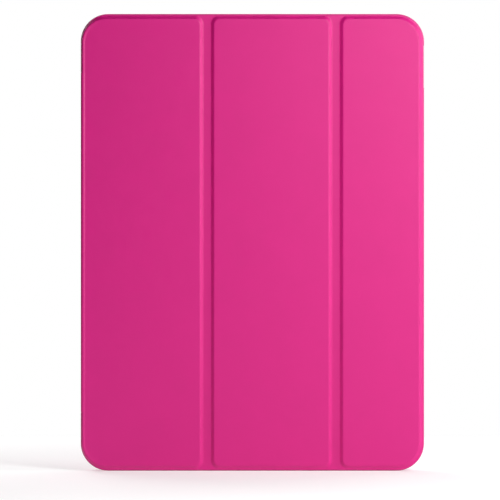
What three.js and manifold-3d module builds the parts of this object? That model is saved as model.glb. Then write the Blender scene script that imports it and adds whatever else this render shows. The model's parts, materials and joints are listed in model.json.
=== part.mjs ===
// Tri-fold folio case for an 11-inch-class tablet, closed and standing on its short edge.
// Millimetres. +X is the free-edge side, +Y points to the back of the case, +Z is up.
// The origin is the middle of the case's footprint, on the surface it stands on.

import * as THREE from 'three';
import { mergeVertices } from 'three/addons/utils/BufferGeometryUtils.js';
import Module from 'manifold-3d';

const wasm = await Module();
wasm.setup();
const { Manifold, Mesh: SolidMesh } = wasm;

// Driving dimensions
const CASE_WIDTH = 192.4;
const CASE_HEIGHT = 256;
const CASE_CORNER = 15.4;
const ARC_STEPS = 7;

// Cover: a soft skin outside, a stiff board, and a microfibre lining inside
const SKIN = 0.7;
const BOARD = 1.4;
const LINING = 0.5;
const COVER_INSET = 0.4;
const BORDER = 1.2;
const BEVEL_RUN = 1.8;
const PAD_CORNER = 4.5;
const FIT = 0.06;

// Fold grooves, measured from the middle of the case's width
const FIRST_GROOVE_X = -25.4;
const SECOND_GROOVE_X = 46.8;
const GROOVE_FLOOR = 3.5;
const CREASE_GAP = 0.6;

// Shell
const SHELL_DEPTH = 10.2;
const COVER_GAP = 0.3;
const LIP = 1.6;
const LIP_OVERLAP = 1.2;
const FLANGE = 1.2;
const PLATE_BASE = 1.0;
const GUARD_HEIGHT = 0.6;

// Tablet pocket and the stylus bay beside it
const SIDE_WALL = 1.3;
const POCKET_WIDTH = 179.1;
const POCKET_HEIGHT = 248.2;
const POCKET_CORNER = 14;
const BAY_WIDTH = 9.0;
const BAY_LENGTH = 169;
const BAY_FLOOR = 1.0;

// Spine strip, the flap that glues it to the back, and the bare skin that turns the corner between them
const SPINE_BOARD = 0.5;
const SPINE_HEIGHT = 190;
const SPINE_GAP = 0.3;
const SPINE_FRONT_GAP = 1.2;
const SPINE_REAR_GAP = 0.6;
const FLAP_WIDTH = 18;
const FLAP = 0.55;
const FLAP_RECESS = 0.6;
const REAR_FOLD_RUN = 1.25;
const REAR_FOLD_GAP = 0.4;

// Depths along Y, from the cover's outer face to the camera guard's rim
const COVER = SKIN + BOARD + LINING;
const DEPTH = COVER + COVER_GAP + SHELL_DEPTH + GUARD_HEIGHT;
const COVER_FRONT = -DEPTH / 2;
const FLOOR_FRONT = COVER_FRONT + BOARD;
const BOARD_FRONT = COVER_FRONT + SKIN;
const SKIN_BACK = BOARD_FRONT + BOARD;
const COVER_BACK = COVER_FRONT + COVER;
const LIP_FRONT = COVER_BACK + COVER_GAP;
const POCKET_FRONT = LIP_FRONT + LIP;
const BACK = LIP_FRONT + SHELL_DEPTH;
const FLANGE_FRONT = BACK - FLANGE;
const PLATE_FRONT = FLANGE_FRONT - PLATE_BASE;
const TABLET_Y = (POCKET_FRONT + PLATE_FRONT) / 2;
const PAST = 2;

// Places along X and Z
const LEFT = -CASE_WIDTH / 2;
const RIGHT = CASE_WIDTH / 2;
const MIDDLE_Z = CASE_HEIGHT / 2;
const SPINE = SKIN + SPINE_BOARD + LINING;
const SPINE_BOTTOM = MIDDLE_Z - SPINE_HEIGHT / 2;
const SPINE_TOP = MIDDLE_Z + SPINE_HEIGHT / 2;
const POCKET_LEFT = LEFT + SPINE + SPINE_GAP + SIDE_WALL;
const POCKET_RIGHT = POCKET_LEFT + POCKET_WIDTH;
const POCKET_BOTTOM = MIDDLE_Z - POCKET_HEIGHT / 2;
const POCKET_TOP = MIDDLE_Z + POCKET_HEIGHT / 2;
const BAY_BOTTOM = MIDDLE_Z - BAY_LENGTH / 2;
const BAY_TOP = MIDDLE_Z + BAY_LENGTH / 2;
const NOTCH_FLOOR_X = POCKET_RIGHT + 3;
const NOTCH_BOTTOM = BAY_TOP + 2;
const NOTCH_TOP = NOTCH_BOTTOM + 24;

// Crease axes, all parallel to Z
const COVER_LEFT = LEFT + 0.2;
const COVER_RIGHT = RIGHT - 0.2;
const FRONT_CREASE = { x: LEFT + SPINE / 2, y: COVER_BACK - (SKIN + LINING) / 2 };
const REAR_CREASE_FAR = { x: LEFT + SKIN / 2, y: BACK - FLAP_RECESS + FLAP / 2 - REAR_FOLD_RUN };
const REAR_CREASE = { x: REAR_CREASE_FAR.x + REAR_FOLD_RUN, y: REAR_CREASE_FAR.y + REAR_FOLD_RUN };
const GROOVES = [FIRST_GROOVE_X, SECOND_GROOVE_X].map((x) => ({
  left: x - GROOVE_FLOOR / 2,
  right: x + GROOVE_FLOOR / 2,
}));

const COLOURS = {
  skin: { color: 0xdf3c8c, roughness: 0.5, metalness: 0 },
  lining: { color: 0xc23a78, roughness: 0.95, metalness: 0 },
  board: { color: 0x3a3a3e, roughness: 0.8, metalness: 0 },
  frame: { color: 0xd8307f, roughness: 0.55, metalness: 0 },
  plate: { color: 0xe0408c, roughness: 0.4, metalness: 0 },
  button: { color: 0xd23079, roughness: 0.45, metalness: 0 },
  magnet: { color: 0xb8bcc2, roughness: 0.3, metalness: 1 },
  steel: { color: 0x9aa0a6, roughness: 0.35, metalness: 1 },
};

// Solids

function solidOf(geometry) {
  geometry.deleteAttribute('normal');
  geometry.deleteAttribute('uv');
  const merged = mergeVertices(geometry, 1e-4);
  return new Manifold(new SolidMesh({
    numProp: 3,
    vertProperties: new Float32Array(merged.attributes.position.array),
    triVerts: new Uint32Array(merged.index.array),
  }));
}

function geometryOf(solid) {
  const mesh = solid.getMesh();
  const geometry = new THREE.BufferGeometry();
  geometry.setAttribute('position', new THREE.BufferAttribute(new Float32Array(mesh.vertProperties), 3));
  geometry.setIndex(new THREE.BufferAttribute(new Uint32Array(mesh.triVerts), 1));
  geometry.computeVertexNormals();
  return geometry;
}

// A rectangle in the X-Z plane. radii runs bottom left, bottom right, top right, top left.
function rectangle(x0, x1, z0, z1, radii = [0, 0, 0, 0]) {
  const [a, b, c, d] = radii;
  const shape = new THREE.Shape();
  const quarter = Math.PI / 2;
  const corner = (x, z, radius, turn) => {
    if (radius > 0) {
      shape.absarc(x, z, radius, turn * quarter, (turn + 1) * quarter, false);
    } else {
      shape.lineTo(x, z);
    }
  };
  shape.moveTo(x0 + a, z0);
  corner(x1 - b, z0 + b, b, 3);
  corner(x1 - c, z1 - c, c, 0);
  corner(x0 + d, z1 - d, d, 1);
  if (a > 0) {
    corner(x0 + a, z0 + a, a, 2);
  }
  return shape;
}

function evenRectangle(x0, x1, z0, z1, radius) {
  return rectangle(x0, x1, z0, z1, [radius, radius, radius, radius]);
}

// A plate with an outline in the X-Z plane, from one depth to another
function plate(shape, front, back) {
  const geometry = new THREE.ExtrudeGeometry(shape, {
    depth: back - front,
    bevelEnabled: false,
    curveSegments: ARC_STEPS,
  });
  geometry.rotateX(Math.PI / 2);
  geometry.translate(0, back, 0);
  return solidOf(geometry);
}

function block(x0, x1, y0, y1, z0, z1) {
  const geometry = new THREE.BoxGeometry(x1 - x0, y1 - y0, z1 - z0);
  geometry.translate((x0 + x1) / 2, (y0 + y1) / 2, (z0 + z1) / 2);
  return solidOf(geometry);
}

// A slot or pill with round ends, pushed along one axis. size is [long, short].
function pill(center, size, axis, from, to) {
  const [long, short] = size;
  const shape = evenRectangle(-long / 2, long / 2, -short / 2, short / 2, short / 2 - 0.01);
  const geometry = new THREE.ExtrudeGeometry(shape, {
    depth: to - from,
    bevelEnabled: false,
    curveSegments: ARC_STEPS,
  });
  if (axis === 'x') {
    // long side along Z, short side along Y
    geometry.rotateX(Math.PI / 2);
    geometry.rotateZ(Math.PI / 2);
    geometry.rotateX(Math.PI / 2);
    geometry.translate(from, center[0], center[1]);
  } else {
    // long side along X, short side along Y
    geometry.translate(center[0], center[1], from);
  }
  return solidOf(geometry);
}

// Cover panels

// The raised pad over a panel's board: chamfered edges that run down to the groove floor
function raisedPad(panel) {
  const straight = 1;
  const geometry = new THREE.ExtrudeGeometry(padTop(panel), {
    depth: straight,
    bevelEnabled: true,
    bevelThickness: BOARD,
    bevelSize: BEVEL_RUN,
    bevelSegments: 1,
    curveSegments: ARC_STEPS,
  });
  geometry.rotateX(Math.PI / 2);
  geometry.translate(0, COVER_FRONT + BOARD + straight, 0);
  const keep = block(LEFT, RIGHT, COVER_FRONT - PAST, FLOOR_FRONT + 0.2, 0, CASE_HEIGHT);
  return solidOf(geometry).intersect(keep);
}

// The flat top of a pad, which is also its board's outline
function padTop(panel, spread = 0) {
  const reach = BORDER + BEVEL_RUN - spread;
  const left = panel.left + (panel.outerSide === 'left' ? reach : BEVEL_RUN - spread);
  const right = panel.right - (panel.outerSide === 'right' ? reach : BEVEL_RUN - spread);
  const outer = CASE_CORNER - reach;
  const inner = PAD_CORNER + spread;
  const leftCorner = panel.outerSide === 'left' ? outer : inner;
  const rightCorner = panel.outerSide === 'right' ? outer : inner;
  const radii = [leftCorner, rightCorner, rightCorner, leftCorner];
  return rectangle(left, right, COVER_INSET + reach, CASE_HEIGHT - COVER_INSET - reach, radii);
}

function panelOutline(panel, inset = 0) {
  const left = panel.left + (panel.outerSide === 'left' ? inset : 0);
  const right = panel.right - (panel.outerSide === 'right' ? inset : 0);
  const round = CASE_CORNER - COVER_INSET - inset;
  const leftCorner = panel.outerSide === 'left' ? round : 0;
  const rightCorner = panel.outerSide === 'right' ? round : 0;
  const radii = [leftCorner, rightCorner, rightCorner, leftCorner];
  return rectangle(left, right, COVER_INSET + inset, CASE_HEIGHT - COVER_INSET - inset, radii);
}

function panelSkin(panel) {
  const sheet = plate(panelOutline(panel), FLOOR_FRONT, SKIN_BACK);
  const boardSpace = plate(padTop(panel, FIT), BOARD_FRONT, SKIN_BACK + PAST);
  return sheet.add(raisedPad(panel)).subtract(boardSpace);
}

function panelBoard(panel, pockets) {
  const board = plate(padTop(panel), BOARD_FRONT + FIT / 2, SKIN_BACK - FIT / 2);
  return pockets.reduce((solid, pocket) => solid.subtract(pocket), board);
}

function panelLining(panel) {
  return plate(panelOutline(panel, 0.45), SKIN_BACK, COVER_BACK);
}

function foldStrip(groove, front, back) {
  const left = groove.left + CREASE_GAP;
  const right = groove.right - CREASE_GAP;
  return block(left, right, front, back, COVER_INSET, CASE_HEIGHT - COVER_INSET);
}

// Flat pieces let into a board, lying on its inner side
const EDGE_MAGNET_X = COVER_RIGHT - 10.5;
const INSERTS = {
  stand_keeper_strip: { x: COVER_LEFT + 10, z: MIDDLE_Z, width: 10, height: 120, thick: 0.6 },
  closure_magnet_top: { x: EDGE_MAGNET_X, z: MIDDLE_Z + 86, width: 5, height: 24, thick: 0.9 },
  closure_magnet_middle: { x: EDGE_MAGNET_X, z: MIDDLE_Z, width: 5, height: 24, thick: 0.9 },
  closure_magnet_bottom: { x: EDGE_MAGNET_X, z: MIDDLE_Z - 86, width: 5, height: 24, thick: 0.9 },
  wake_magnet: { x: COVER_RIGHT - 24, z: CASE_HEIGHT - 34, width: 8, height: 4, thick: 0.9 },
};

function insertBlock(insert, room) {
  const halfWidth = insert.width / 2 + room;
  const halfHeight = insert.height / 2 + room;
  const back = SKIN_BACK - FIT / 2 + (room > 0 ? PAST : 0);
  const front = SKIN_BACK - FIT - insert.thick - room;
  return block(
    insert.x - halfWidth, insert.x + halfWidth,
    front, back,
    insert.z - halfHeight, insert.z + halfHeight,
  );
}

// Shell

function spineRecess() {
  const inner = POCKET_LEFT - SIDE_WALL;
  const room = 0.4;
  return block(LEFT - PAST, inner, LIP_FRONT - PAST, BACK + PAST, SPINE_BOTTOM - room, SPINE_TOP + room);
}

function flapRecess() {
  const right = REAR_CREASE.x + FLAP_WIDTH + 0.3;
  const room = 0.4;
  return block(LEFT - PAST, right, BACK - FLAP_RECESS, BACK + PAST, SPINE_BOTTOM - room, SPINE_TOP + room);
}

function backOpening(shrink) {
  return evenRectangle(
    POCKET_LEFT + 4.4 + shrink, POCKET_RIGHT - 1.7 - shrink,
    POCKET_BOTTOM + 3.5 + shrink, POCKET_TOP - 2.6 - shrink,
    10 - shrink,
  );
}

function pocketOutline(shrink) {
  return evenRectangle(
    POCKET_LEFT + shrink, POCKET_RIGHT - shrink,
    POCKET_BOTTOM + shrink, POCKET_TOP - shrink,
    POCKET_CORNER - shrink,
  );
}

const CAMERA = { x: POCKET_RIGHT - 20.8, z: POCKET_TOP - 20.8, size: 32, corner: 8, wall: 1.5 };

function cameraOutline(grow) {
  const half = CAMERA.size / 2 + grow;
  return evenRectangle(
    CAMERA.x - half, CAMERA.x + half,
    CAMERA.z - half, CAMERA.z + half,
    CAMERA.corner + grow,
  );
}

// A button is a cap on a wider base that is held inside the wall. center is where its axis crosses the
// wall: X and Y for a button in the top edge, Y and Z for one in the side.
const BUTTON_WALL = 3;
const BUTTON_REACH = 3.7;
const BUTTON_TRAVEL = 0.7;
const BUTTON_BASE = 0.7;
const BUTTON_FLARE = 1.2;
const BUTTON_ROOM = 0.3;
const BUTTON_DEPTH = 2.6;
const BUTTONS = {
  power_button: { axis: 'z', face: POCKET_TOP, center: [60, TABLET_Y], cap: [17, BUTTON_DEPTH] },
  volume_up_button: { axis: 'x', face: POCKET_RIGHT, center: [TABLET_Y, 232.4], cap: [8, BUTTON_DEPTH] },
  volume_down_button: { axis: 'x', face: POCKET_RIGHT, center: [TABLET_Y, 220.6], cap: [8, BUTTON_DEPTH] },
};

function grown(size, by) {
  return size.map((value) => value + by);
}

function buttonSolid({ axis, face, center, cap }) {
  const bottom = face + BUTTON_TRAVEL + 0.1;
  const base = pill(center, grown(cap, BUTTON_FLARE), axis, bottom, bottom + BUTTON_BASE);
  return base.add(pill(center, cap, axis, bottom + 0.2, face + BUTTON_REACH));
}

function buttonRoom({ axis, face, center, cap }) {
  const hollow = BUTTON_TRAVEL + BUTTON_BASE + 0.2;
  const counterbore = pill(center, grown(cap, BUTTON_FLARE + 2 * BUTTON_ROOM), axis, face - PAST, face + hollow);
  const slot = pill(center, grown(cap, 2 * BUTTON_ROOM), axis, face, face + BUTTON_WALL + PAST);
  return counterbore.add(slot);
}

// The power button sits in a shallow scoop, so that it stays inside the case's outline
function powerScoop() {
  const { face, center, cap } = BUTTONS.power_button;
  const floor = face + BUTTON_WALL;
  return pill(center, grown(cap, 3.2), 'z', floor, floor + PAST);
}

function fingerNotch() {
  const shape = rectangle(NOTCH_FLOOR_X, RIGHT + PAST, NOTCH_BOTTOM, NOTCH_TOP, [3, 0, 0, 3]);
  return plate(shape, LIP_FRONT - PAST, BACK + PAST);
}

// Sockets in the short edges: a charging port, four speaker slots and a microphone hole
const TABLET_X = (POCKET_LEFT + POCKET_RIGHT) / 2;
const BOTTOM_SPEAKERS = { offsets: [-52, 52], size: [24, 2.6] };
const TOP_SPEAKERS = { offsets: [-44, 16], size: [20, 2.6] };
const PORT_SIZE = [14, 5.8];
const MICROPHONE_SIZE = [2.4, 2.38];

function edgeHole(offset, size, edge) {
  const [from, to] = edge === 'bottom' ? [-PAST, POCKET_BOTTOM + PAST] : [POCKET_TOP - PAST, CASE_HEIGHT + PAST];
  return pill([TABLET_X + offset, TABLET_Y], size, 'z', from, to);
}

function edgeOpenings() {
  return [
    edgeHole(0, PORT_SIZE, 'bottom'),
    edgeHole(0, MICROPHONE_SIZE, 'top'),
    ...BOTTOM_SPEAKERS.offsets.map((offset) => edgeHole(offset, BOTTOM_SPEAKERS.size, 'bottom')),
    ...TOP_SPEAKERS.offsets.map((offset) => edgeHole(offset, TOP_SPEAKERS.size, 'top')),
  ];
}

function bumperFrame() {
  const outline = evenRectangle(LEFT, RIGHT, 0, CASE_HEIGHT, CASE_CORNER);
  const openings = [
    spineRecess(),
    flapRecess(),
    plate(pocketOutline(0), POCKET_FRONT, FLANGE_FRONT),
    plate(pocketOutline(LIP_OVERLAP), LIP_FRONT - PAST, POCKET_FRONT + 0.5),
    plate(backOpening(0), FLANGE_FRONT - 0.5, BACK + PAST),
    block(POCKET_RIGHT - LIP_OVERLAP - 0.1, POCKET_RIGHT + BAY_WIDTH, LIP_FRONT - PAST, BACK - BAY_FLOOR,
      BAY_BOTTOM, BAY_TOP),
    fingerNotch(),
    powerScoop(),
    ...Object.values(BUTTONS).map(buttonRoom),
    ...edgeOpenings(),
  ];
  return openings.reduce((solid, opening) => solid.subtract(opening), plate(outline, LIP_FRONT, BACK));
}

function backPlate() {
  const gap = 0.1;
  const base = plate(pocketOutline(gap), PLATE_FRONT, FLANGE_FRONT - gap / 2);
  const raised = plate(backOpening(gap), PLATE_FRONT + 0.3, BACK);
  const hole = plate(cameraOutline(CAMERA.wall), PLATE_FRONT - PAST, BACK + PAST);
  return base.add(raised).subtract(hole).subtract(flapRecess());
}

function cameraGuard() {
  const outside = plate(cameraOutline(CAMERA.wall - 0.05), PLATE_FRONT, BACK + GUARD_HEIGHT);
  return outside.subtract(plate(cameraOutline(0), PLATE_FRONT - PAST, BACK + PAST));
}

function spineFlap() {
  const left = REAR_CREASE.x + REAR_FOLD_GAP;
  const front = BACK - FLAP_RECESS;
  return block(left, REAR_CREASE.x + FLAP_WIDTH, front + 0.02, front + FLAP, SPINE_BOTTOM, SPINE_TOP);
}

// The bare skin between the flap and the spine, laid across the corner at 45 degrees
function rearFoldGeometry() {
  const length = Math.hypot(REAR_FOLD_RUN, REAR_FOLD_RUN) - 2 * REAR_FOLD_GAP;
  return new THREE.BoxGeometry(length, FLAP, SPINE_HEIGHT);
}

function spineLayer(left, right, inset) {
  const front = FRONT_CREASE.y + SPINE_FRONT_GAP + inset;
  const back = REAR_CREASE_FAR.y - SPINE_REAR_GAP - inset;
  return block(left, right, front, back, SPINE_BOTTOM + inset, SPINE_TOP - inset);
}

// Assembly

const caseGroup = new THREE.Group();

function addMesh(name, geometry, finish, parent) {
  const mesh = new THREE.Mesh(geometry, new THREE.MeshStandardMaterial(COLOURS[finish]));
  mesh.name = name;
  parent.add(mesh);
  return mesh;
}

function addPiece(name, solid, finish, parent) {
  return addMesh(name, geometryOf(solid), finish, parent);
}

function addShell() {
  const shell = new THREE.Group();
  addPiece('bumper_frame', bumperFrame(), 'frame', shell);
  addPiece('back_plate', backPlate(), 'plate', shell);
  addPiece('camera_guard', cameraGuard(), 'frame', shell);
  addPiece('spine_flap', spineFlap(), 'skin', shell);
  for (const [name, button] of Object.entries(BUTTONS)) {
    addPiece(name, buttonSolid(button), 'button', shell);
  }
  caseGroup.add(shell);
}

function addRearFold() {
  const fold = addMesh('rear_fold_skin', rearFoldGeometry(), 'skin', caseGroup);
  const middleX = (REAR_CREASE.x + REAR_CREASE_FAR.x) / 2;
  const middleY = (REAR_CREASE.y + REAR_CREASE_FAR.y) / 2;
  fold.position.set(middleX, middleY, MIDDLE_Z);
  fold.rotation.z = Math.PI / 4;
}

function addSpine() {
  const spine = new THREE.Group();
  const boardLeft = LEFT + SKIN;
  const boardRight = boardLeft + SPINE_BOARD;
  addPiece('spine_skin', spineLayer(LEFT, boardLeft, 0), 'skin', spine);
  addPiece('spine_stiffener', spineLayer(boardLeft, boardRight, 0.4), 'board', spine);
  addPiece('spine_lining', spineLayer(boardRight, LEFT + SPINE, 0), 'lining', spine);
  caseGroup.add(spine);
}

const PANELS = {
  hinge_panel: {
    left: COVER_LEFT,
    right: GROOVES[0].left - CREASE_GAP,
    outerSide: 'left',
    inserts: ['stand_keeper_strip'],
  },
  middle_panel: {
    left: GROOVES[0].right + CREASE_GAP,
    right: GROOVES[1].left - CREASE_GAP,
    outerSide: 'none',
    inserts: [],
  },
  edge_panel: {
    left: GROOVES[1].right + CREASE_GAP,
    right: COVER_RIGHT,
    outerSide: 'right',
    inserts: ['closure_magnet_top', 'closure_magnet_middle', 'closure_magnet_bottom', 'wake_magnet'],
  },
};

function addPanel(name, panel) {
  const group = new THREE.Group();
  const pockets = panel.inserts.map((insert) => insertBlock(INSERTS[insert], 0.1));
  addPiece(`${name}_skin`, panelSkin(panel), 'skin', group);
  addPiece(`${name}_board`, panelBoard(panel, pockets), 'board', group);
  addPiece(`${name}_lining`, panelLining(panel), 'lining', group);
  for (const insert of panel.inserts) {
    const finish = insert.endsWith('strip') ? 'steel' : 'magnet';
    addPiece(insert, insertBlock(INSERTS[insert], 0), finish, group);
  }
  caseGroup.add(group);
}

function addFold(name, groove) {
  const group = new THREE.Group();
  addPiece(`${name}_skin`, foldStrip(groove, FLOOR_FRONT, SKIN_BACK), 'skin', group);
  addPiece(`${name}_lining`, foldStrip(groove, SKIN_BACK, COVER_BACK), 'lining', group);
  caseGroup.add(group);
}

addShell();
addRearFold();
addSpine();
Object.entries(PANELS).forEach(([name, panel]) => addPanel(name, panel));
addFold('first_fold', GROOVES[0]);
addFold('second_fold', GROOVES[1]);

export default caseGroup;
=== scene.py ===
"""Tri-fold tablet case: the looks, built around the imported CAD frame."""
import json
import math

import bmesh
import bpy
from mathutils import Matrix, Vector


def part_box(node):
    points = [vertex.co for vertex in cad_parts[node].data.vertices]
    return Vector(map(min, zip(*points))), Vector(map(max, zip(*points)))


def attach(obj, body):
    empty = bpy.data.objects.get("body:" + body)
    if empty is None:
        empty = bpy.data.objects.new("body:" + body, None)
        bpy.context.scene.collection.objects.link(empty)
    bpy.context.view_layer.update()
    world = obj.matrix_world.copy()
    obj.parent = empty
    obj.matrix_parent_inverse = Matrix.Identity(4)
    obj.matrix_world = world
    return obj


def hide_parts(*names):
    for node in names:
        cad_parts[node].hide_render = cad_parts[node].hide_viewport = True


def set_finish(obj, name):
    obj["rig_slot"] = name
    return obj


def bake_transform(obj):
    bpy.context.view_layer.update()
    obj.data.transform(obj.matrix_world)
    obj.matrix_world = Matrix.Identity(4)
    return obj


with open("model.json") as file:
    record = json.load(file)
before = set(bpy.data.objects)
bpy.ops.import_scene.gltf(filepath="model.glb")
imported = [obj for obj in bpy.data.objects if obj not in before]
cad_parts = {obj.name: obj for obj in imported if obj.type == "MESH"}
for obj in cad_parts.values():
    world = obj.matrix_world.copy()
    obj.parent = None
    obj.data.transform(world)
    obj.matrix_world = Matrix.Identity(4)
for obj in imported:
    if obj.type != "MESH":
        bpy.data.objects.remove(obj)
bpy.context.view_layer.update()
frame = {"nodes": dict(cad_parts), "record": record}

MM = 0.001

# Places that the frame states, in millimetres
JOINTS = {joint["name"]: joint for joint in frame["record"]["behaviour"]["joints"]}


def joint_place(name):
    x, y, _ = JOINTS[name]["pos_m"]
    return Vector((x / MM, y / MM))


def box_mm(node):
    low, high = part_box(node)
    return [value / MM for value in low], [value / MM for value in high]


REAR = joint_place("rear_crease")
REAR_FAR = joint_place("rear_crease_far_side")
FRONT = joint_place("front_crease")
CREASES = {
    name: joint_place(name)
    for name in ("first_fold", "first_fold_far_side", "second_fold", "second_fold_far_side")
}
FIRST_GROOVE = (CREASES["first_fold"].x + CREASES["first_fold_far_side"].x) / 2
SECOND_GROOVE = (CREASES["second_fold"].x + CREASES["second_fold_far_side"].x) / 2

skin_low, _ = box_mm("hinge_panel_skin")
_, edge_high = box_mm("edge_panel_skin")
_, lining_high = box_mm("hinge_panel_lining")
strip_low, _ = box_mm("first_fold_skin")
spine_low, spine_high = box_mm("spine_skin")
flap_low, flap_high = box_mm("spine_flap")

COVER_LEFT = skin_low[0]
COVER_RIGHT = edge_high[0]
COVER_BOTTOM = skin_low[2]
COVER_TOP = edge_high[2]
FACE_Y = skin_low[1]
FLOOR_Y = strip_low[1]
COVER_BACK_Y = lining_high[1]
COVER_CORNER = 15.0
# Corner radius of a raised face where it meets a groove
FACE_CORNER = 4.5
MIDDLE_Z = (COVER_BOTTOM + COVER_TOP) / 2

# Mesh helpers. Meshes are made in millimetres and scaled once, when the object is made.

SHARP_ANGLE = math.radians(40)


def new_object(name, bm):
    bmesh.ops.scale(bm, vec=(MM, MM, MM), verts=bm.verts)
    bmesh.ops.recalc_face_normals(bm, faces=bm.faces)
    for face in bm.faces:
        face.smooth = True
    for edge in bm.edges:
        edge.smooth = edge.calc_face_angle(0.0) < SHARP_ANGLE
    add_rest_uv(bm)
    mesh = bpy.data.meshes.new(name)
    bm.to_mesh(mesh)
    bm.free()
    piece = bpy.data.objects.new(name, mesh)
    bpy.context.scene.collection.objects.link(piece)
    return piece


def add_rest_uv(bm):
    """Map the shape at rest, in metres, so that grain stays on the surface when it bends."""
    layer = bm.loops.layers.uv.new("rest")
    for face in bm.faces:
        normal = face.normal
        sideways = abs(normal.x) > abs(normal.y) and abs(normal.x) > abs(normal.z)
        level = abs(normal.z) > abs(normal.y)
        for loop in face.loops:
            co = loop.vert.co
            if sideways:
                loop[layer].uv = (co.y, co.z)
            elif level:
                loop[layer].uv = (co.x, co.y)
            else:
                loop[layer].uv = (co.x, co.z)


def loft(bm, rings):
    """Skin rings of equal length into a closed tube, with flat caps."""
    made = [[bm.verts.new(point) for point in ring] for ring in rings]
    for near, far in zip(made, made[1:]):
        count = len(near)
        for i in range(count):
            j = (i + 1) % count
            bm.faces.new((near[i], near[j], far[j], far[i]))
    bm.faces.new(list(reversed(made[0])))
    bm.faces.new(made[-1])


ARC_STEPS = 14


def outline(left, right, bottom, top, radii):
    """A rounded rectangle as (x, z) points. radii runs anticlockwise from the bottom left."""
    corners = (
        (left + radii[0], bottom + radii[0], radii[0], 180),
        (right - radii[1], bottom + radii[1], radii[1], 270),
        (right - radii[2], top - radii[2], radii[2], 0),
        (left + radii[3], top - radii[3], radii[3], 90),
    )
    points = []
    for x, z, radius, start in corners:
        for step in range(ARC_STEPS + 1):
            turn = math.radians(start + 90 * step / ARC_STEPS)
            points.append((x + radius * math.cos(turn), z + radius * math.sin(turn)))
    return points


def ring_at(points, y):
    return [(x, y, z) for x, z in points]


def smooth(t):
    return t * t * (3 - 2 * t)


# Cover base: the skin at groove level with its turned edge, cut where two folds share a panel

EDGE_ROUND = 0.5
ROLL_STEPS = 6
# A flat band inside the rounded edge, before the cap of the sheet
FLAT_BORDER = 0.35
# The lining is set in from the outline and let into the skin, and stands a little behind it
LINING_ROUND = 0.1
LINING_INSET = 1.3
LINING_DEPTH = 0.35
LINING_PROUD = 0.07


def sheet_mesh(inset, front, back, roll):
    """A flat sheet with the cover's outline and a rounded edge, from Y = front to Y = back."""
    bm = bmesh.new()
    sides = []
    for y, direction in ((front, 1), (back, -1)):
        side = [(inset + roll + FLAT_BORDER, y)]
        for step in range(ROLL_STEPS + 1):
            turn = math.radians(90 * step / ROLL_STEPS)
            away = inset + roll * (1 - math.sin(turn))
            side.append((away, y + direction * roll * (1 - math.cos(turn))))
        sides.append(side)
    profile = sides[0] + list(reversed(sides[1]))
    loft(bm, [
        ring_at(outline(
            COVER_LEFT + d, COVER_RIGHT - d, COVER_BOTTOM + d, COVER_TOP - d, [COVER_CORNER - d] * 4,
        ), y)
        for d, y in profile
    ])
    return bm


# A sheet bends over this distance on each side of a crease
CREASE_ZONE = 1.15
ZONE_CUTS = 10


def slice_mesh(bm, left, right, crease_x):
    """Keep the part between two X planes, with close columns where it bends."""
    def plane(x, **options):
        bmesh.ops.bisect_plane(
            bm, geom=bm.verts[:] + bm.edges[:] + bm.faces[:],
            plane_co=(x, 0, 0), plane_no=(1, 0, 0), dist=1e-5, **options,
        )
    for x, options in ((left, {"clear_inner": True}), (right, {"clear_outer": True})):
        if x is not None:
            plane(x, **options)
            open_edges = [edge for edge in bm.edges if edge.is_boundary]
            bmesh.ops.holes_fill(bm, edges=open_edges, sides=0)
    for step in range(ZONE_CUTS + 1):
        plane(crease_x - CREASE_ZONE + 2 * CREASE_ZONE * step / ZONE_CUTS)
    return bm


MIDDLE_CUT = (CREASES["first_fold_far_side"].x + CREASES["second_fold"].x) / 2
# Label, left and right cut, the slice's crease, and the bodies to its left and right
CUTS = (
    ("hinge", None, FIRST_GROOVE, "first_fold", "hinge_panel", "first_fold"),
    ("middle_near", FIRST_GROOVE, MIDDLE_CUT, "first_fold_far_side", "first_fold", "middle_panel"),
    ("middle_far", MIDDLE_CUT, SECOND_GROOVE, "second_fold", "middle_panel", "second_fold"),
    ("edge", SECOND_GROOVE, None, "second_fold_far_side", "second_fold", "edge_panel"),
)
# The CAD nodes that each slice stands for, without the layer's name
LAYER_NODES = {
    "hinge": ("hinge_panel", "first_fold"),
    "middle_near": ("first_fold", "middle_panel"),
    "middle_far": ("middle_panel", "second_fold"),
    "edge": ("second_fold", "edge_panel"),
}
# Layer, inset from the outline, front and back Y, and radius of the edge
SHEETS = (
    ("skin", 0.0, FLOOR_Y, COVER_BACK_Y - LINING_PROUD, EDGE_ROUND),
    ("lining", LINING_INSET, COVER_BACK_Y - LINING_DEPTH, COVER_BACK_Y, LINING_ROUND),
)


def build_sheets():
    pieces = []
    for layer, inset, front, back, roll in SHEETS:
        for label, left, right, crease, body_a, body_b in CUTS:
            x = CREASES[crease].x
            bm = slice_mesh(sheet_mesh(inset, front, back, roll), left, right, x)
            piece = new_object(f"cover_{label}_{layer}", bm)
            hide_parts(*(f"{node}_{layer}" for node in LAYER_NODES[label]))
            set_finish(piece, layer)
            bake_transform(piece)
            pieces.append(piece)
    return pieces


# Raised faces of the three panels: a soft S-shaped slope up from groove level, and on the
# spine side a rolled edge with a low bead that stands forward of the face

# Where a slope starts: in from a crease, in from the spine side, and in from a free edge
GROOVE_FOOT = 0.15
SPINE_FOOT = 0.25
BORDER = 0.6
SLOPE_RUN = 2.3
SLOPE_STEPS = 14
SPINE_ROLL = 1.0
# The bead along the spine side
RIDGE_HEIGHT = 0.22
RIDGE_RUN = 1.2
RIDGE_STEPS = 8
# The first ring lies inside the sheet, at this share of the height
BURIED = -0.25
CAP_INSET = 0.5
# How much a corner's radius shrinks for each millimetre up the slope
OUTER_CORNER_SHARE = 0.8
INNER_CORNER_SHARE = 0.6


def roll_inset(height):
    """How far in from the outline the rolled edge is at a height from 0 to 1."""
    return SPINE_FOOT + SPINE_ROLL * (1 - math.sqrt(max(0.0, 1 - height * height)))


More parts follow.
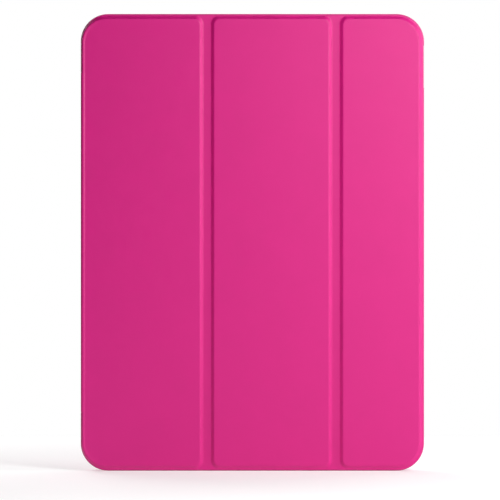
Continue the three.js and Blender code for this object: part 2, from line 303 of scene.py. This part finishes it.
def face_mesh(left, right, left_kind, right_kind):
    """A raised face. A side is "groove", "spine" or "border", which is the free edge."""
    bm = bmesh.new()
    rings = []
    levels = [(BURIED, 0.0)]
    levels += [(smooth(step / SLOPE_STEPS), step / SLOPE_STEPS) for step in range(SLOPE_STEPS + 1)]
    for height, t in levels:
        slope = SLOPE_RUN * t
        at = {
            "groove": GROOVE_FOOT + slope,
            "border": BORDER + slope,
            "spine": roll_inset(max(0.0, height)),
        }
        inset_left, inset_right, inset_end = at[left_kind], at[right_kind], at["border"]
        outer = COVER_CORNER - BORDER - OUTER_CORNER_SHARE * slope
        inner = FACE_CORNER - INNER_CORNER_SHARE * slope
        left_corner = inner if left_kind == "groove" else outer
        right_corner = inner if right_kind == "groove" else outer
        points = outline(
            left + inset_left, right - inset_right,
            COVER_BOTTOM + inset_end, COVER_TOP - inset_end,
            [left_corner, right_corner, right_corner, left_corner],
        )
        y = FLOOR_Y + (FACE_Y - FLOOR_Y) * height
        rise = RIDGE_HEIGHT * max(0.0, height) if left_kind == "spine" else 0.0
        rings.append(ridged(points, y, rise))
    middle = Vector(((left + right) / 2, MIDDLE_Z))
    if left_kind == "spine":
        for step in range(1, RIDGE_STEPS + 1):
            t = step / RIDGE_STEPS
            inner_points = [shrunk(point, middle, RIDGE_RUN * t) for point in points]
            rings.append(ridged(inner_points, FACE_Y, RIDGE_HEIGHT * (1 - smooth(t)), points))
    last = [shrunk((x, z), middle, CAP_INSET) for x, _, z in rings[-1]]
    rings.append(ring_at(last, FACE_Y))
    loft(bm, rings)
    return bm


def ridged(points, y, rise, shape=None):
    """A ring at y that stands forward along its left side, and less round its left corners.

    shape is the ring whose directions count, for points that have moved together at a corner.
    """
    shape = shape or points
    ring = []
    for i, (x, z) in enumerate(points):
        after = shape[(i + 1) % len(shape)]
        before = shape[i - 1]
        run = Vector((after[0] - before[0], after[1] - before[1])).normalized()
        facing_left = max(0.0, -run.y)
        ring.append((x, y - rise * facing_left ** 2, z))
    return ring


def shrunk(point, middle, by):
    """The point moved towards the middle, by the same distance in X and in Z."""
    x, z = point
    toward = Vector((middle.x - x, middle.y - z))
    half = Vector((abs(toward.x), abs(toward.y)))
    step_x = math.copysign(min(by, half.x), toward.x)
    step_z = math.copysign(min(by, half.y), toward.y)
    return (x + step_x, z + step_z)


FACES = (
    ("hinge_panel", COVER_LEFT, CREASES["first_fold"].x, "spine", "groove"),
    ("middle_panel", CREASES["first_fold_far_side"].x, CREASES["second_fold"].x, "groove", "groove"),
    ("edge_panel", CREASES["second_fold_far_side"].x, COVER_RIGHT, "groove", "border"),
)


def build_faces():
    pieces = []
    for body, left, right, left_kind, right_kind in FACES:
        piece = new_object(f"{body}_face", face_mesh(left, right, left_kind, right_kind))
        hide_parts(f"{body}_skin")
        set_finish(piece, "skin")
        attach(piece, body)
        pieces.append(piece)
    return pieces


# Ribbons: strips of skin or lining that follow a path round the spine

BEND_STEPS = 8
ROW_SPACING = 0.25
LONG_RUN = 8


def rounded_path(points, radius):
    """Straight runs joined by smooth corners."""
    path = [Vector(points[0])]
    for before, corner, after in zip(points, points[1:], points[2:]):
        corner = Vector(corner)
        to_before = Vector(before) - corner
        to_after = Vector(after) - corner
        reach = min(radius, to_before.length / 2, to_after.length / 2)
        a = corner + to_before.normalized() * reach
        b = corner + to_after.normalized() * reach
        for step in range(BEND_STEPS + 1):
            t = step / BEND_STEPS
            path.append(a * (1 - t) ** 2 + corner * 2 * t * (1 - t) + b * t * t)
    path.append(Vector(points[-1]))
    return path


def refine(path, near, reach=3.0):
    """Add points near a crease, so that the ribbon has close rows where it bends."""
    fine = [path[0]]
    for a, b in zip(path, path[1:]):
        length = (b - a).length
        close = min((a - near).length, (b - near).length) < reach
        parts = max(1, math.ceil(length / ROW_SPACING)) if close and length < LONG_RUN else 1
        for part in range(1, parts + 1):
            fine.append(a.lerp(b, part / parts))
    return fine


# Distance in from an end, and the share of the thickness there
END_ROUND = ((0.0, 0.45), (0.08, 0.72), (0.2, 0.92), (0.4, 1.0))
# A soft tip starts at this share of the thickness, and is full after this many half thicknesses
TIP_SHARE = 0.4
TIP_REACH = 1.2
TIP_ROWS = (0.1, 0.3, 0.6, 1.2, 1.8)


def ribbon_mesh(path, half, bottom, top, soft_start=False):
    """A strip of even thickness along a path in the X-Y plane, extruded from bottom to top."""
    lengths = [0.0]
    for a, b in zip(path, path[1:]):
        lengths.append(lengths[-1] + (b - a).length)
    sides = []
    for i, point in enumerate(path):
        before = path[max(0, i - 1)]
        after = path[min(len(path) - 1, i + 1)]
        tangent = (after - before).normalized()
        normal = Vector((tangent.y, -tangent.x))
        width = half
        if soft_start:
            rise = math.sqrt(min(1.0, lengths[i] / (TIP_REACH * half)))
            width *= min(1.0, TIP_SHARE + rise * (1 - TIP_SHARE))
        sides.append((point, normal, width))
    bm = bmesh.new()
    levels = [(bottom + offset, scale) for offset, scale in END_ROUND]
    levels += [(top - offset, scale) for offset, scale in reversed(END_ROUND)]
    rings = []
    for z, scale in levels:
        one = [point + normal * width * scale for point, normal, width in sides]
        other = [point - normal * width * scale for point, normal, width in reversed(sides)]
        rings.append([(p.x, p.y, z) for p in one + other])
    loft(bm, rings)
    return bm


def soft_start_points(path, half):
    """Extra points just inside a free end, so that it rounds off."""
    a, b = path[0], path[1]
    direction = (b - a).normalized()
    extra = [a + direction * half * row for row in TIP_ROWS]
    return [a] + extra + path[1:]


SPINE_BOTTOM = spine_low[2]
SPINE_TOP = spine_high[2]
SPINE_MIDDLE_Y = 0.2
FLAP_HALF = (flap_high[1] - flap_low[1]) / 2
REAR_BEND = 0.45


def build_rear_skin():
    flap_end = Vector((flap_high[0], REAR.y))
    middle = (REAR + REAR_FAR) / 2
    path = rounded_path([flap_end, REAR, middle], REAR_BEND)
    path = soft_start_points(refine(path, near=REAR), FLAP_HALF)
    mesh = ribbon_mesh(path, FLAP_HALF, SPINE_BOTTOM, SPINE_TOP, soft_start=True)
    piece = new_object("rear_flap_skin", mesh)
    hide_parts("spine_flap", "rear_fold_skin")
    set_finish(piece, "skin")
    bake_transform(piece)

    spine_mid = Vector((REAR_FAR.x, SPINE_MIDDLE_Y))
    path = refine(rounded_path([middle, REAR_FAR, spine_mid], REAR_BEND), near=REAR_FAR)
    spine = new_object("rear_corner_skin", ribbon_mesh(path, FLAP_HALF, SPINE_BOTTOM, SPINE_TOP))
    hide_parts("rear_fold_skin", "spine_skin")
    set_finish(spine, "skin")
    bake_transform(spine)
    return [piece, spine]


# Where the skin turns with the front crease, in Y
FRONT_ROLL = 1.1
FRONT_ROLL_STEPS = 12
FRONT_PROUD = 0.02
END_SINK = 0.05


def build_front_skin():
    x = REAR_FAR.x
    top = FACE_Y - RIDGE_HEIGHT + FLAP_HALF - FRONT_PROUD
    centre = Vector((x + FRONT_ROLL, top + FRONT_ROLL))
    path = [Vector((x, SPINE_MIDDLE_Y)), Vector((x, centre.y))]
    for step in range(1, FRONT_ROLL_STEPS + 1):
        turn = math.radians(90 * step / FRONT_ROLL_STEPS)
        path.append(centre + Vector((-math.cos(turn), -math.sin(turn))) * FRONT_ROLL)
    for step in range(1, RIDGE_STEPS + 1):
        t = step / RIDGE_STEPS
        fall = RIDGE_HEIGHT * smooth(t) + END_SINK * t ** 4
        path.append(Vector((centre.x + RIDGE_RUN * t, top + fall)))
    path = refine(path, near=FRONT, reach=5.0)
    piece = new_object("front_crease_skin", ribbon_mesh(path, FLAP_HALF, SPINE_BOTTOM, SPINE_TOP))
    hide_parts("spine_skin", "hinge_panel_skin")
    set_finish(piece, "skin")
    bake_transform(piece)
    return [piece]


LINING_HALF = 0.22
LINING_BEND = 0.8
LINING_END_INSET = 0.6
LINING_OVERLAP = 2.4
LINING_LEVEL = 0.25


def build_spine_lining():
    low, high = box_mm("spine_lining")
    x = (low[0] + high[0]) / 2
    back = COVER_BACK_Y - LINING_LEVEL
    start = Vector((x, high[1]))
    corner = Vector((x, back))
    end = Vector((COVER_LEFT + LINING_OVERLAP, back))
    path = refine(rounded_path([start, corner, end], LINING_BEND), near=FRONT, reach=4.0)
    path = soft_start_points(path, LINING_HALF)
    bottom = SPINE_BOTTOM + LINING_END_INSET
    strip_top = SPINE_TOP - LINING_END_INSET
    mesh = ribbon_mesh(path, LINING_HALF, bottom, strip_top, soft_start=True)
    piece = new_object("spine_lining_strip", mesh)
    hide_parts("spine_lining")
    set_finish(piece, "lining")
    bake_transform(piece)
    return [piece]


# Materials


def new_material(name):
    material = bpy.data.materials.new(name)
    material.use_nodes = True
    return material, material.node_tree, material.node_tree.nodes["Principled BSDF"]


def coordinates(tree, output):
    return tree.nodes.new("ShaderNodeTexCoord").outputs[output]


def add_noise(tree, source, scale, detail, roughness=0.55):
    node = tree.nodes.new("ShaderNodeTexNoise")
    node.inputs["Scale"].default_value = scale
    node.inputs["Detail"].default_value = detail
    node.inputs["Roughness"].default_value = roughness
    tree.links.new(source, node.inputs["Vector"])
    return node.outputs["Fac"]


def add_cells(tree, source, scale):
    node = tree.nodes.new("ShaderNodeTexVoronoi")
    node.inputs["Scale"].default_value = scale
    tree.links.new(source, node.inputs["Vector"])
    return node.outputs["Distance"]


def add_ramp(tree, value, low, high):
    """Colours from low to high, over the middle of a noise."""
    node = tree.nodes.new("ShaderNodeValToRGB")
    for element, position, colour in zip(node.color_ramp.elements, (0.3, 0.7), (low, high)):
        element.position = position
        element.color = (*colour, 1)
    tree.links.new(value, node.inputs["Fac"])
    return node.outputs["Color"]


def add_bump(tree, height, strength, distance, before=None):
    node = tree.nodes.new("ShaderNodeBump")
    node.inputs["Strength"].default_value = strength
    node.inputs["Distance"].default_value = distance
    tree.links.new(height, node.inputs["Height"])
    if before is not None:
        tree.links.new(before, node.inputs["Normal"])
    return node.outputs["Normal"]


def tinted(colour, by):
    return tuple(min(1.0, channel * by) for channel in colour)


def vary_colour(tree, shader, value, colour, darkest, lightest):
    ramp = add_ramp(tree, value, tinted(colour, darkest), tinted(colour, lightest))
    tree.links.new(ramp, shader.inputs["Base Color"])


def vary_roughness(tree, shader, value, low, high):
    tree.links.new(add_ramp(tree, value, (low,) * 3, (high,) * 3), shader.inputs["Roughness"])


def set_bump(tree, shader, normal):
    tree.links.new(normal, shader.inputs["Normal"])


def leather(name, colour):
    """Soft-touch synthetic leather: satin, with a grain too fine to see from a distance."""
    material, tree, shader = new_material(name)
    place = coordinates(tree, "UV")
    vary_colour(tree, shader, add_noise(tree, place, 45, 3), colour, 0.985, 1.015)
    vary_roughness(tree, shader, add_noise(tree, place, 160, 4), 0.47, 0.55)
    grain = add_bump(tree, add_cells(tree, place, 2600), strength=0.12, distance=0.00006)
    waves = add_noise(tree, place, 38, 2)
    set_bump(tree, shader, add_bump(tree, waves, strength=0.05, distance=0.0008, before=grain))
    shader.inputs["Specular IOR Level"].default_value = 0.46
    shader.inputs["Sheen Weight"].default_value = 0.03
    shader.inputs["Sheen Roughness"].default_value = 0.5
    return material


def microfibre(name, colour):
    """Matt lining with a short nap."""
    material, tree, shader = new_material(name)
    place = coordinates(tree, "UV")
    nap = add_noise(tree, place, 900, 6, 0.7)
    vary_colour(tree, shader, nap, colour, 0.86, 1.12)
    hairs = add_noise(tree, place, 2400, 5, 0.7)
    set_bump(tree, shader, add_bump(tree, hairs, strength=0.35, distance=0.00012))
    shader.inputs["Roughness"].default_value = 0.95
    shader.inputs["Specular IOR Level"].default_value = 0.2
    shader.inputs["Sheen Weight"].default_value = 0.5
    shader.inputs["Sheen Roughness"].default_value = 0.35
    return material


def plastic(name, colour, rough, grain_scale, grain_height):
    """Moulded plastic with a fine spark-eroded grain."""
    material, tree, shader = new_material(name)
    place = coordinates(tree, "Object")
    vary_colour(tree, shader, add_noise(tree, place, 30, 3), colour, 0.985, 1.015)
    vary_roughness(tree, shader, add_noise(tree, place, 220, 4), rough - 0.05, rough + 0.05)
    grain = add_noise(tree, place, grain_scale, 3)
    set_bump(tree, shader, add_bump(tree, grain, strength=0.25, distance=grain_height))
    shader.inputs["Specular IOR Level"].default_value = 0.45
    return material


def fibre_board(name, colour):
    material, tree, shader = new_material(name)
    fibres = add_noise(tree, coordinates(tree, "Object"), 700, 8, 0.75)
    vary_colour(tree, shader, fibres, colour, 0.7, 1.35)
    set_bump(tree, shader, add_bump(tree, fibres, strength=0.4, distance=0.0001))
    shader.inputs["Roughness"].default_value = 0.85
    return material


def metal(name, colour, rough, stretch):
    """Metal with lines drawn out along the axes where stretch is small."""
    material, tree, shader = new_material(name)
    mapping = tree.nodes.new("ShaderNodeMapping")
    mapping.inputs["Scale"].default_value = stretch
    tree.links.new(coordinates(tree, "Object"), mapping.inputs["Vector"])
    lines = add_noise(tree, mapping.outputs["Vector"], 500, 4)
    vary_colour(tree, shader, lines, colour, 0.92, 1.05)
    vary_roughness(tree, shader, lines, rough - 0.06, rough + 0.08)
    set_bump(tree, shader, add_bump(tree, lines, strength=0.1, distance=0.00005))
    shader.inputs["Metallic"].default_value = 1.0
    return material


# One finish for each material slot of the record
FINISHES = {
    "skin": leather("soft_touch_leather", (0.62, 0.004, 0.198)),
    "lining": microfibre("microfibre_lining", (0.56, 0.05, 0.22)),
    "frame": plastic("soft_bumper_plastic", (0.62, 0.018, 0.21), 0.5, 1800, 0.00004),
    "plate": plastic("back_plate_plastic", (0.64, 0.022, 0.222), 0.42, 2600, 0.00005),
    "button": plastic("button_plastic", (0.58, 0.03, 0.2), 0.38, 3000, 0.00002),
    "board": fibre_board("grey_fibre_board", (0.045, 0.045, 0.05)),
    "magnet": metal("nickel_plate", (0.72, 0.71, 0.68), 0.25, (1, 1, 1)),
    "steel": metal("rolled_steel", (0.5, 0.5, 0.52), 0.35, (8, 1, 0.5)),
}

# How far the moulded parts' edges are rounded, in millimetres
EDGE_RADII = {
    "bumper_frame": 0.5,
    "back_plate": 0.25,
    "camera_guard": 0.25,
    "power_button": 0.35,
    "volume_up_button": 0.35,
    "volume_down_button": 0.35,
}
BEVEL_STEPS = 3
BEVEL_ANGLE = math.radians(45)


def set_material(piece, material):
    piece.data.materials.clear()
    piece.data.materials.append(material)


def round_edges(node, radius):
    bevel = node.modifiers.new("rounded_edges", "BEVEL")
    bevel.width = radius * MM
    bevel.segments = BEVEL_STEPS
    bevel.limit_method = "ANGLE"
    bevel.angle_limit = BEVEL_ANGLE


def finish_cad_nodes():
    for entry in frame["record"]["subparts"]:
        for place in frame["nodes"][entry["node"]].material_slots:
            place.link = "OBJECT"
            place.material = FINISHES[entry["material_slot"]]
    for name, radius in EDGE_RADII.items():
        round_edges(frame["nodes"][name], radius)


BUILDERS = (build_sheets, build_faces, build_rear_skin, build_front_skin, build_spine_lining)
for build in BUILDERS:
    for piece in build():
        set_material(piece, FINISHES[piece["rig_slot"]])
finish_cad_nodes()

# Camera: level, square to the cover, from far away

VIEW_X = -1.34
VIEW_Z = 123.7
VIEW_WIDTH = 279.9
DISTANCE = 2000.0
SENSOR = 36.0
CLIP_END = 50


def add_camera():
    data = bpy.data.cameras.new("camera")
    data.sensor_width = SENSOR
    data.lens = SENSOR * DISTANCE / VIEW_WIDTH
    data.clip_end = CLIP_END
    camera = bpy.data.objects.new("camera", data)
    camera.location = (VIEW_X * MM, (FACE_Y - DISTANCE) * MM, VIEW_Z * MM)
    camera.rotation_euler = (math.radians(90), 0, 0)
    bpy.context.scene.collection.objects.link(camera)
    bpy.context.scene.camera = camera


# Floor, surroundings and lights, in metres

FLOOR_X = 0.6
FLOOR_NEAR = -0.45
FLOOR_FAR = 0.35
FLOOR_GLOW = 0.42
WORLD_SEEN = 1.0
WORLD_LIGHT = 0.01
CENTRE = (0, 0, 0.128)

# Name, place, target, width and height, and power in watts
LIGHTS = (
    ("front_softbox", (0.30, -0.50, 0.36), CENTRE, (0.2, 0.3), 3.35),
    ("right_softbox", (0.72, -0.16, 0.35), CENTRE, (0.25, 0.6), 2.5),
    ("left_strip", (-0.55, -1.3, 0.15), CENTRE, (0.12, 0.6), 0.15),
    ("back_softbox", (-0.45, 0.9, 0.5), CENTRE, (0.6, 0.6), 4.0),
    ("back_overhead", (0.0, 0.65, 0.75), (0, 0.25, 0), (1.6, 0.5), 7.0),
)


def add_floor():
    corners = (
        (-FLOOR_X, FLOOR_NEAR), (FLOOR_X, FLOOR_NEAR), (FLOOR_X, FLOOR_FAR), (-FLOOR_X, FLOOR_FAR),
    )
    bm = bmesh.new()
    bm.faces.new([bm.verts.new((x, y, 0)) for x, y in corners])
    mesh = bpy.data.meshes.new("floor")
    bm.to_mesh(mesh)
    bm.free()
    floor = bpy.data.objects.new("floor", mesh)
    bpy.context.scene.collection.objects.link(floor)
    material, _, shader = new_material("white_floor")
    shader.inputs["Base Color"].default_value = (0.62, 0.62, 0.62, 1)
    shader.inputs["Roughness"].default_value = 0.8
    shader.inputs["Specular IOR Level"].default_value = 0.1
    shader.inputs["Emission Color"].default_value = (1, 1, 1, 1)
    shader.inputs["Emission Strength"].default_value = FLOOR_GLOW
    set_material(floor, material)


def add_world():
    """White where the camera looks past the object, and dim as a light."""
    world = bpy.data.worlds.new("studio")
    world.use_nodes = True
    tree = world.node_tree
    background = tree.nodes["Background"]
    path = tree.nodes.new("ShaderNodeLightPath")
    mix = tree.nodes.new("ShaderNodeMix")
    mix.inputs["A"].default_value = WORLD_LIGHT
    mix.inputs["B"].default_value = WORLD_SEEN
    tree.links.new(path.outputs["Is Camera Ray"], mix.inputs["Factor"])
    background.inputs["Color"].default_value = (1, 1, 1, 1)
    tree.links.new(mix.outputs["Result"], background.inputs["Strength"])
    bpy.context.scene.world = world


def add_area(name, place, target, size, power):
    data = bpy.data.lights.new(name, "AREA")
    data.shape = "RECTANGLE"
    data.size, data.size_y = size
    data.energy = power
    light = bpy.data.objects.new(name, data)
    light.location = place
    direction = Vector(target) - Vector(place)
    light.rotation_euler = direction.to_track_quat("-Z", "Y").to_euler()
    bpy.context.scene.collection.objects.link(light)


add_camera()
add_floor()
add_world()
for light in LIGHTS:
    add_area(*light)
bpy.context.scene.view_settings.view_transform = "Standard"
